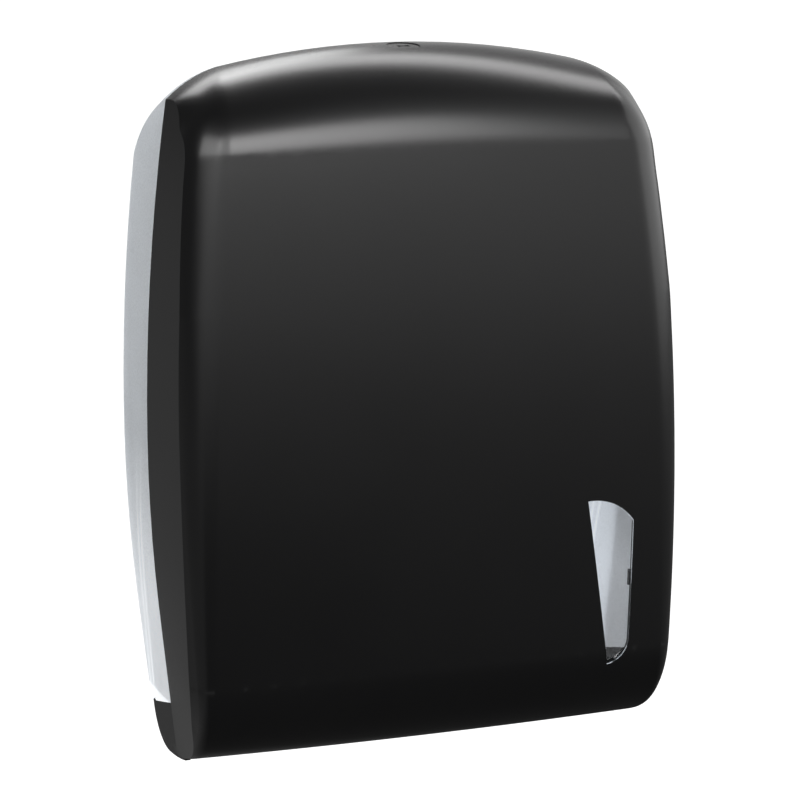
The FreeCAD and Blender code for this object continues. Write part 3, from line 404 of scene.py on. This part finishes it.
class Casing:
    """Curved surfaces of the casing as implicit functions, positive inside, in millimetres.

    Points are arrays of x, depth from the wall and height above the cover's lowest point.
    The run is the length along the middle profile, counted from the upper end of the toe.
    """
    # middle profile
    face_r, crown_r, toe_r, under_r = 1750.0, 60.0, 52.0, 150.0
    upright = 113.0             # height at which the face is vertical
    hinge_depth = 35.0          # the underside is lowest here
    # sideways bows of the top and the face, and the fall of the shell's top to the wall
    arch_r, bow_r = 494.0, 6000.0
    roof_fall = 7.5
    # rounding of the long edges
    panel_inset = 13.6          # half width less the flat half width of the face at the toe
    panel_taper = 5000.0        # narrowing of the face with the squared run
    kink = math.radians(4.0)    # faint crease where the flat face meets the rounding
    turn = math.radians(72)     # how far the rounding turns
    round_toe = 9.4             # rounding radius at the toe
    round_growth = 0.072        # its growth along the run
    round_fade, round_steady = -30.0, 201.0     # the growth lies between these runs
    flare, flare_length = 34.0, 63.63           # further growth over the crown
    shoulder_pull = 9.0         # the rear top corners draw in by this much at the wall
    # outline of the sides
    widest = 186.0
    upper_r, lower_r = 1247.0, 950.0
    straight = 83.0             # below this height the rear outline runs straight
    front_r, front_inset = 3500.0, 6.0          # lower outline at the front
    tuck, tuck_r = 60.0, 330.0  # the front corners tuck in below this height
    # slanted rear panel, drawn in at the wall and more at the bottom
    rear_inset, rear_inset_low, rear_slant = 0.4, 1.9, 0.05

    def __init__(self, sizes):
        self.height = sizes.height / MM
        self.half = sizes.half_width / MM
        self.depth = sizes.depth / MM
        self.parting = sizes.parting / MM
        self.face_c = (self.depth - self.face_r, self.upright)
        self.under_c = (self.hinge_depth, self.under_r)
        reach = self.face_r - self.crown_r
        high = self.height - self.crown_r
        self.crown_c = (self.face_c[0] + math.sqrt(reach ** 2 - (high - self.upright) ** 2), high)
        self.toe_c = self._toe_centre()
        self.crown_a = self._angle(self.crown_c, self.face_c)
        self.toe_a = self._angle(self.toe_c, self.face_c)
        self.toe_from = self._angle(self.toe_c, self.under_c)
        self.toe_run = self.toe_r * (self.toe_a - self.toe_from)
        self.under_run = self.under_r * (self.toe_from + math.pi / 2)
        self.face_run = self.face_r * (self.crown_a - self.toe_a)
        self.crown_run = self.crown_r * (math.pi / 2 - self.crown_a)
        self.full_run = self.top_run(self.parting)

    def _toe_centre(self):
        """Centre of a round that is tangent inside both the underside's curve and the face."""
        near, far = self.under_r - self.toe_r, self.face_r - self.toe_r
        gap = math.dist(self.under_c, self.face_c)
        way = ((self.face_c[0] - self.under_c[0]) / gap, (self.face_c[1] - self.under_c[1]) / gap)
        along = (near ** 2 - far ** 2 + gap ** 2) / (2 * gap)
        off = math.sqrt(near ** 2 - along ** 2)
        return (self.under_c[0] + along * way[0] - off * way[1],
                self.under_c[1] + along * way[1] + off * way[0])

    @staticmethod
    def _angle(centre, base):
        return math.atan2(centre[1] - base[1], centre[0] - base[0])

    def top_run(self, depth):
        """Run at a depth on the level top."""
        return self.face_run + self.crown_run + self.crown_c[0] - depth

    def foot(self, depth, z):
        """Run along the middle profile, distance inside it and the normal's upward share."""
        angle, far = polar(self.face_c, depth, z)
        run, inside, up = self.face_r * (angle - self.toe_a), self.face_r - far, np.sin(angle)

        angle, far = polar(self.toe_c, depth, z)
        toe = (angle < self.toe_a) & (angle >= self.toe_from)
        below = (angle < self.toe_from) & (z < self.toe_c[1])
        run = np.where(toe, self.toe_r * (angle - self.toe_a), run)
        inside = np.where(toe, self.toe_r - far, inside)

        angle, far = polar(self.under_c, depth, z)
        level = below & (depth < self.hinge_depth)
        run = np.where(below, self.under_r * (angle - self.toe_from) - self.toe_run, run)
        run = np.where(level, -self.toe_run - self.under_run, run)
        inside = np.where(below, self.under_r - far, inside)
        inside = np.where(level, z, inside)
        up = np.where(toe | below, 0.0, up)

        angle, far = polar(self.crown_c, depth, z)
        crown = (angle > self.crown_a) & (z > self.crown_c[1])
        over = crown & (depth < self.crown_c[0])
        run = np.where(crown, self.face_run + self.crown_r * (angle - self.crown_a), run)
        run = np.where(over, self.top_run(depth), run)
        inside = np.where(crown, self.crown_r - far, inside)
        inside = np.where(over, self.height - z, inside)
        up = np.where(crown, np.sin(angle), up)
        up = np.where(over, 1.0, up)
        return run, inside, up

    def edge_drop(self, x, depth, run, inset):
        """Fall of the rounded edges below the middle profile, at a distance x from the middle."""
        pull = self.shoulder_pull * (np.maximum(self.parting - depth, 0) / self.parting) ** 2
        narrowing = np.where(run < 0, 0.0, run ** 2 / self.panel_taper + pull)
        half = self.half - self.panel_inset - narrowing - inset * math.sin(self.kink)
        flare = self.flare * smooth_step((run - self.full_run) / self.flare_length + 1)
        growth = self.round_growth * np.clip(run, self.round_fade, self.round_steady)
        radius = self.round_toe + growth + flare - inset
        first = radius * math.sin(self.kink)
        over = np.maximum(x - half, 0)
        near = np.minimum(over, radius * math.sin(self.turn) - first)
        drop = radius * math.cos(self.kink)
        drop = drop - np.sqrt(np.maximum(radius ** 2 - (near + first) ** 2, 0))
        return drop + (over - near) * math.tan(self.turn)

    def skin(self, p, inset=0.0):
        """Face, crown, toe and underside."""
        x, depth, z = np.abs(p[:, 0]), p[:, 1], p[:, 2]
        run, inside, up = self.foot(depth, z)
        rise = up ** 2 * (run > 0)
        bow = (rise / self.arch_r + (1 - rise) / self.bow_r) / 2
        return inside - inset - self.edge_drop(x, depth, run, inset) - bow * x * x

    def roof(self, p, inset=0.0):
        """Top of the shell, which falls towards the wall."""
        x, depth, z = np.abs(p[:, 0]), p[:, 1], p[:, 2]
        fall = self.roof_fall * (self.parting - depth) / self.parting
        drop = self.edge_drop(x, depth, self.top_run(depth), inset)
        return self.height - inset - fall - z - drop - x * x / (2 * self.arch_r)

    def side_half(self, z, depth):
        """Half width of the sides, whose lower outline changes from the parting to the front."""
        upper = (z - self.widest) ** 2 / (2 * self.upper_r)
        slope = (self.widest - self.straight) / self.lower_r
        rear = (self.widest - np.maximum(z, self.straight)) ** 2 / (2 * self.lower_r)
        rear = rear + np.maximum(self.straight - z, 0) * slope
        front = (self.widest - z) ** 2 / (2 * self.front_r)
        front = front + np.maximum(self.tuck - z, 0) ** 2 / (2 * self.tuck_r)
        reach = self.depth - self.front_inset - self.parting
        share = np.clip((depth - self.parting) / reach, 0, 2)
        lower = rear * (1 - share) + front * share
        return self.half - np.where(z > self.widest, upper, lower)

    def side(self, p, inset=0.0):
        """Sides of the cover and of the shell in front of its rear panels."""
        return self.side_half(p[:, 2], p[:, 1]) - inset - np.abs(p[:, 0])

    def rear(self, p, inset=0.0):
        """Slanted rear panels of the shell's sides."""
        z, depth = p[:, 2], p[:, 1]
        draw = self.rear_inset + self.rear_inset_low * ((self.height - z) / self.height) ** 2
        half = self.side_half(z, np.zeros_like(z)) - draw + self.rear_slant * depth
        return half - inset - np.abs(p[:, 0])


# ---------------------------------------------------------------- mouldings
WELD = 2e-6                         # joins the corners that the CAD mesh's faces share
LONGEST_EDGE = 0.004                # short enough for the shading to follow each round
SHARP = math.radians(28)            # edges that turn by more stay crisp
LEAST_MATCH = 0.8                   # cosine between a face and the surface that it lies on
ON_SKIN, ON_SIDE = 0.5, 0.25        # a face this near lies on the surface, in millimetres
GRADIENT_STEP = 0.05                # in millimetres
TURN_DEPTH = np.array([1, -1, 1])   # depth runs from the wall to the front, which is -Y


def outward(surface, p):
    """Unit outward normals of an implicit surface at points."""
    gradient = np.zeros_like(p)
    for axis in range(3):
        move = np.zeros(3)
        move[axis] = GRADIENT_STEP
        gradient[:, axis] = surface(p - move) - surface(p + move)
    return gradient / np.linalg.norm(gradient, axis=1, keepdims=True)


def divide(work, longest, passes=6):
    """Split every edge above a length, so that the curvature can follow closely."""
    for _ in range(passes):
        edges = [edge for edge in work.edges if edge.calc_length() > longest]
        if not edges:
            break
        bmesh.ops.subdivide_edges(work, edges=edges, cuts=1)
        bmesh.ops.triangulate(work, faces=[face for face in work.faces if len(face.verts) > 3])


def fine_mesh(name, node):
    """A CAD node's mesh in small triangles, smooth between its sharp edges."""
    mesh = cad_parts[node].data.copy()
    mesh.name = name
    work = bmesh.new()
    work.from_mesh(mesh)
    bmesh.ops.remove_doubles(work, verts=work.verts, dist=WELD)
    divide(work, LONGEST_EDGE)
    for face in work.faces:
        face.smooth = True
    for edge in work.edges:
        edge.smooth = len(edge.link_faces) == 2 and edge.calc_face_angle(0) < SHARP
    work.to_mesh(mesh)
    work.free()
    mesh.update()
    return mesh


def whole_numbers(items, attribute):
    """One whole number of each item of a mesh."""
    values = np.zeros(len(items), int)
    items.foreach_get(attribute, values)
    return values


def vectors(items, attribute):
    """One vector of each item of a mesh."""
    values = np.zeros(len(items) * 3, np.float32)
    items.foreach_get(attribute, values)
    return values.reshape(-1, 3).astype(float)


def follow(mesh, surfaces):
    """Give each face the true normals of the surface that it lies on.

    A surface comes as its implicit function, the distance within which a face lies on it and
    whether the plastic is outside it.
    """
    corner_vertex = whole_numbers(mesh.loops, "vertex_index")
    normals = vectors(mesh.corner_normals, "vector")
    p = vectors(mesh.vertices, "co") / MM * TURN_DEPTH - np.array([0, 0, BASE_Z / MM])
    flat = vectors(mesh.polygons, "normal") * TURN_DEPTH
    faces = len(mesh.polygons)
    face_of = np.repeat(np.arange(faces), whole_numbers(mesh.polygons, "loop_total"))
    best = np.full(faces, LEAST_MATCH)
    chosen = np.full(faces, -1)
    directions = []
    for index, (surface, tolerance, inner) in enumerate(surfaces):
        near = np.abs(surface(p)) < tolerance
        on_face = np.ones(faces, bool)
        np.logical_and.at(on_face, face_of, near[corner_vertex])
        direction = outward(surface, p) * (-1 if inner else 1)
        directions.append(direction)
        mean = np.zeros((faces, 3))
        np.add.at(mean, face_of, direction[corner_vertex])
        mean /= np.linalg.norm(mean, axis=1, keepdims=True) + 1e-12
        match = (mean * flat).sum(1)
        take = on_face & (match > best)
        best = np.where(take, match, best)
        chosen = np.where(take, index, chosen)
    for index, direction in enumerate(directions):
        corners = chosen[face_of] == index
        normals[corners] = direction[corner_vertex[corners]] * TURN_DEPTH
    mesh.normals_split_custom_set(normals.tolist())


def curved_copy(name, node, surfaces):
    """A moulding on a CAD node's shape, shaded by the true curvature of its surfaces."""
    mesh = fine_mesh(name, node)
    follow(mesh, surfaces)
    obj = bpy.data.objects.new(name, mesh)
    bpy.context.scene.collection.objects.link(obj)
    return obj


def settle(obj, body, slot, finish, *nodes):
    """Attach a new piece to its body, hide the nodes it stands for and put its finish on."""
    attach(obj, body)
    if nodes:
        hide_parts(*nodes)
    paint(obj, finish)


# ---------------------------------------------------------------- operators
class DISPENSER_OT_cover(bpy.types.Operator):
    """Make the front cover with its true curvature"""
    bl_idname = "dispenser.cover"
    bl_label = "Front Cover"

    def execute(self, context):
        sizes = context.scene.casing_sizes
        casing = Casing(sizes)
        wall = sizes.cover_wall / MM
        surfaces = [
            (casing.skin, ON_SKIN, False),
            (casing.side, ON_SIDE, False),
            (lambda p: casing.skin(p, wall), ON_SKIN, True),
            (lambda p: casing.side(p, wall), ON_SIDE, True),
        ]
        cover = curved_copy("cover_moulding", "front_cover", surfaces)
        settle(cover, "cover", "cover_black", "satin_black", "front_cover")
        return {"FINISHED"}


class DISPENSER_OT_shell(bpy.types.Operator):
    """Make the frosted back shell with its true curvature"""
    bl_idname = "dispenser.shell"
    bl_label = "Back Shell"

    def execute(self, context):
        sizes = context.scene.casing_sizes
        casing = Casing(sizes)
        wall = sizes.side_wall / MM
        gap = (sizes.cover_wall + sizes.insert_gap) / MM
        surfaces = [
            (casing.roof, ON_SKIN, False),
            (casing.side, ON_SIDE, False),
            (casing.rear, ON_SIDE, False),
            (lambda p: casing.skin(p, gap), ON_SKIN, False),
            (lambda p: casing.side(p, gap), ON_SIDE, False),
            (lambda p: casing.roof(p, wall), ON_SKIN, True),
            (lambda p: casing.skin(p, wall), ON_SKIN, True),
            (lambda p: casing.side(p, wall), ON_SIDE, True),
            (lambda p: casing.rear(p, wall), ON_SIDE, True),
        ]
        shell = curved_copy("shell_moulding", "back_shell", surfaces)
        settle(shell, "shell", "shell_frosted", "frosted_plastic_painted_glow", "back_shell")
        return {"FINISHED"}


class DISPENSER_OT_window(bpy.types.Operator):
    """Finish the sight window and its frame"""
    bl_idname = "dispenser.window"
    bl_label = "Sight Window"

    def execute(self, context):
        paint_nodes("clear_pane", "window_lens")
        paint_nodes("matt_black", "window_frame")
        return {"FINISHED"}


class DISPENSER_OT_lock(bpy.types.Operator):
    """Finish the lock, its cam and its keeper"""
    bl_idname = "dispenser.lock"
    bl_label = "Lock"

    def execute(self, context):
        paint_nodes("satin_black", "lock_housing", "lock_barrel")
        paint_nodes("matt_black", "lock_nut")
        paint_nodes("plated_steel", "lock_cam", "lock_cam_washer", "lock_cam_screw", "lock_keeper")
        return {"FINISHED"}


class DISPENSER_OT_tray(bpy.types.Operator):
    """Finish the towel tray and the collar of its slot"""
    bl_idname = "dispenser.tray"
    bl_label = "Towel Tray"

    def execute(self, context):
        paint_nodes("tray_grey", "towel_tray")
        paint_nodes("matt_black", "throat_collar")
        return {"FINISHED"}


class DISPENSER_OT_guides(bpy.types.Operator):
    """Finish the stack guides"""
    bl_idname = "dispenser.guides"
    bl_label = "Stack Guides"

    def execute(self, context):
        paint_nodes("tray_grey", "stack_guide_left", "stack_guide_right")
        return {"FINISHED"}


class DISPENSER_OT_hinges(bpy.types.Operator):
    """Finish the hinge pins, washers and cover buffers"""
    bl_idname = "dispenser.hinges"
    bl_label = "Hinges and Buffers"

    def execute(self, context):
        paint_nodes("plated_steel", "hinge_pin_left", "hinge_pin_right")
        paint_nodes("white_nylon", "hinge_washer_left", "hinge_washer_right")
        paint_nodes("soft_rubber", "cover_buffers")
        return {"FINISHED"}


class DISPENSER_OT_screws(bpy.types.Operator):
    """Finish the screws"""
    bl_idname = "dispenser.screws"
    bl_label = "Screws"

    def execute(self, context):
        paint_nodes("plated_steel", "tray_screws", "guide_screws", "keeper_screws")
        return {"FINISHED"}


# ---------------------------------------------------------------- stage
# azimuth and elevation of the middle, width and height as angles, all in degrees, and radiance
SOFTBOXES = {
    "key_left": (-50.0, 32.0, 46.0, 25.0, 2.95),
    "key_right": (-8.0, 32.0, 36.0, 25.0, 2.65),
    "key_core": (16.0, 29.5, 16.0, 20.0, 5.6),
    "right_wall": (88.0, 23.0, 66.0, 50.0, 0.8),
    "high_strip": (133.0, 59.0, 54.0, 14.0, 4.9),
    "rear_strip": (180.0, 43.0, 34.0, 17.0, 3.8),
}
LAMP_DISTANCE = 2.2
# what gloss mirrors at each height, from straight below (0) to straight above (1)
ROOM_TONES = ((0.0, 0.04), (0.36, 0.06), (0.43, 0.19), (0.50, 0.41), (0.56, 0.65), (0.62, 0.58),
              (0.80, 0.35), (0.90, 0.10), (0.96, 0.02))
ROOM_LIGHT = 0.60               # even light on everything that isn't glossy
FLOOR_DROP = 1.2                # below the object
FLOOR_HALF = 60.0
FLOOR_GLOW = 0.62               # brings the floor to white where no shadow falls
CAMERA_AZIMUTH, CAMERA_ELEVATION = 21.563, 10.686
CAMERA_TARGET = (-0.00068, -0.057, 0.1954 + BASE_Z)
CAMERA_DISTANCE = 1.6723
CAMERA_LENS = 134.71            # in millimetres, on a sensor 36 wide


def softbox(name, azimuth, elevation, width, height, radiance):
    """A soft panel facing the object; azimuth 0 is the front, 90 the right side."""
    lamp = bpy.data.lights.new(name, "AREA")
    lamp.shape = "RECTANGLE"
    lamp.size = 2 * LAMP_DISTANCE * math.tan(math.radians(width / 2))
    lamp.size_y = 2 * LAMP_DISTANCE * math.tan(math.radians(height / 2))
    lamp.energy = radiance * math.pi * lamp.size * lamp.size_y
    obj = bpy.data.objects.new(name, lamp)
    obj.visible_camera = False
    around, rise = math.radians(azimuth), math.radians(elevation)
    way = Vector((math.sin(around) * math.cos(rise), -math.cos(around) * math.cos(rise),
                  math.sin(rise)))
    obj.location = way * LAMP_DISTANCE
    obj.rotation_mode = "QUATERNION"
    obj.rotation_quaternion = way.to_track_quat("Z", "Y")
    bpy.context.scene.collection.objects.link(obj)


def make_world():
    """White behind the object, an even soft light, and a graded room for the gloss."""
    world = bpy.data.worlds.new("studio_room")
    world.use_nodes = True
    room = Shading(world.node_tree)
    right, back, up = room.axes(room.node("ShaderNodeTexCoord", output="Generated"))
    stops = [(place, grey(level)) for place, level in ROOM_TONES]
    tone = room.node("ShaderNodeValToRGB", {"stops": stops}, {"Fac": 0.5 + 0.5 * up})
    # the far left stays dark in front and behind, and the far right is brighter
    far_right = 0.5 * right.fade(0.3, 0.8)
    front_side = right.fade(-0.92, -0.72) + far_right
    back_side = right.fade(-0.417, 0.417).at_least(0.10) + far_right
    turned = back.fade(-0.125, 0.125)
    side = front_side * (1 - turned) + back_side * turned
    seen, gloss = room.ray_kinds()
    level = seen + (1 - seen) * (gloss * side + (1 - gloss) * ROOM_LIGHT)
    colour = room.blend(gloss, grey(1.0), tone)
    light = room.node("ShaderNodeBackground", None, {"Color": colour, "Strength": level})
    room.node("ShaderNodeOutputWorld", None, {"Surface": light}, output=None)
    bpy.context.scene.world = world


def make_floor_card():
    """White with a shadow where it is seen, and for the gloss dark card with two paler parts."""
    finish = Finish("pale_floor")
    right, back, _ = finish.axes(finish.place())
    rear_left = (0.6 * back - 0.8 * right).fade(0.133, 1.467)
    paler = rear_left.at_least(0.9 * right.fade(1.2, 3.2))
    seen, gloss = finish.ray_kinds()
    mirrored = finish.mix(paler, finish.card(0.035), finish.card(0.22))
    unseen = finish.mix(gloss, finish.card(0.45), mirrored)
    glow = finish.node("ShaderNodeEmission", None, {"Color": grey(1.0), "Strength": FLOOR_GLOW})
    lit = finish.node("ShaderNodeAddShader", None, {0: finish.card(0.85), 1: glow})
    return finish.done(finish.mix(seen, unseen, lit))


def make_floor():
    """A pale floor well below the wall-mounted object."""
    work = bmesh.new()
    bmesh.ops.create_grid(work, x_segments=8, y_segments=8, size=FLOOR_HALF)
    mesh = bpy.data.meshes.new("studio_floor")
    work.to_mesh(mesh)
    work.free()
    floor = bpy.data.objects.new("studio_floor", mesh)
    floor.location = (0.0, 0.0, BASE_Z - FLOOR_DROP)
    bpy.context.scene.collection.objects.link(floor)
    mesh.materials.append(make_floor_card())


def make_camera():
    """A long lens from the front left, a little above the object."""
    azimuth, elevation = math.radians(CAMERA_AZIMUTH), math.radians(CAMERA_ELEVATION)
    ahead = Vector((math.sin(azimuth) * math.cos(elevation),
                    math.cos(azimuth) * math.cos(elevation), -math.sin(elevation)))
    camera = bpy.data.cameras.new("studio_camera")
    camera.sensor_width = 36.0
    camera.lens = CAMERA_LENS
    camera.clip_start = 0.1
    camera.clip_end = 50.0
    obj = bpy.data.objects.new("studio_camera", camera)
    obj.location = Vector(CAMERA_TARGET) - ahead * CAMERA_DISTANCE
    obj.rotation_mode = "QUATERNION"
    obj.rotation_quaternion = ahead.to_track_quat("-Z", "Y")
    bpy.context.scene.collection.objects.link(obj)
    bpy.context.scene.camera = obj


class DISPENSER_OT_stage(bpy.types.Operator):
    """Set up the floor, the soft lights and the camera"""
    bl_idname = "dispenser.stage"
    bl_label = "Studio Stage"

    def execute(self, context):
        context.scene.view_settings.view_transform = "Standard"
        make_world()
        make_floor()
        for name, settings in SOFTBOXES.items():
            softbox(name, *settings)
        make_camera()
        return {"FINISHED"}


# ---------------------------------------------------------------- panel and registration
OPERATORS = (
    DISPENSER_OT_cover, DISPENSER_OT_shell, DISPENSER_OT_window, DISPENSER_OT_lock,
    DISPENSER_OT_tray, DISPENSER_OT_guides, DISPENSER_OT_hinges, DISPENSER_OT_screws,
    DISPENSER_OT_stage,
)


class DISPENSER_PT_panel(bpy.types.Panel):
    """Lists the dispenser's pieces"""
    bl_idname = "DISPENSER_PT_panel"
    bl_label = "Towel Dispenser"
    bl_space_type = "VIEW_3D"
    bl_region_type = "UI"
    bl_category = "Dispenser"

    def draw(self, context):
        for operator in OPERATORS:
            self.layout.operator(operator.bl_idname)
        for group in (context.scene.casing_sizes, context.scene.finish_colours):
            for name in group.bl_rna.properties.keys():
                if name not in {"rna_type", "name"}:
                    self.layout.prop(group, name)


CLASSES = (CasingSizes, FinishColours, DISPENSER_PT_panel) + OPERATORS


def register():
    for cls in CLASSES:
        bpy.utils.register_class(cls)
    bpy.types.Scene.casing_sizes = bpy.props.PointerProperty(type=CasingSizes)
    bpy.types.Scene.finish_colours = bpy.props.PointerProperty(type=FinishColours)


def unregister():
    del bpy.types.Scene.finish_colours
    del bpy.types.Scene.casing_sizes
    for cls in reversed(CLASSES):
        bpy.utils.unregister_class(cls)


def main():
    register()
    for operator in OPERATORS:
        group, name = operator.bl_idname.split(".")
        getattr(getattr(bpy.ops, group), name)()


if __name__ == "__main__":
    main()
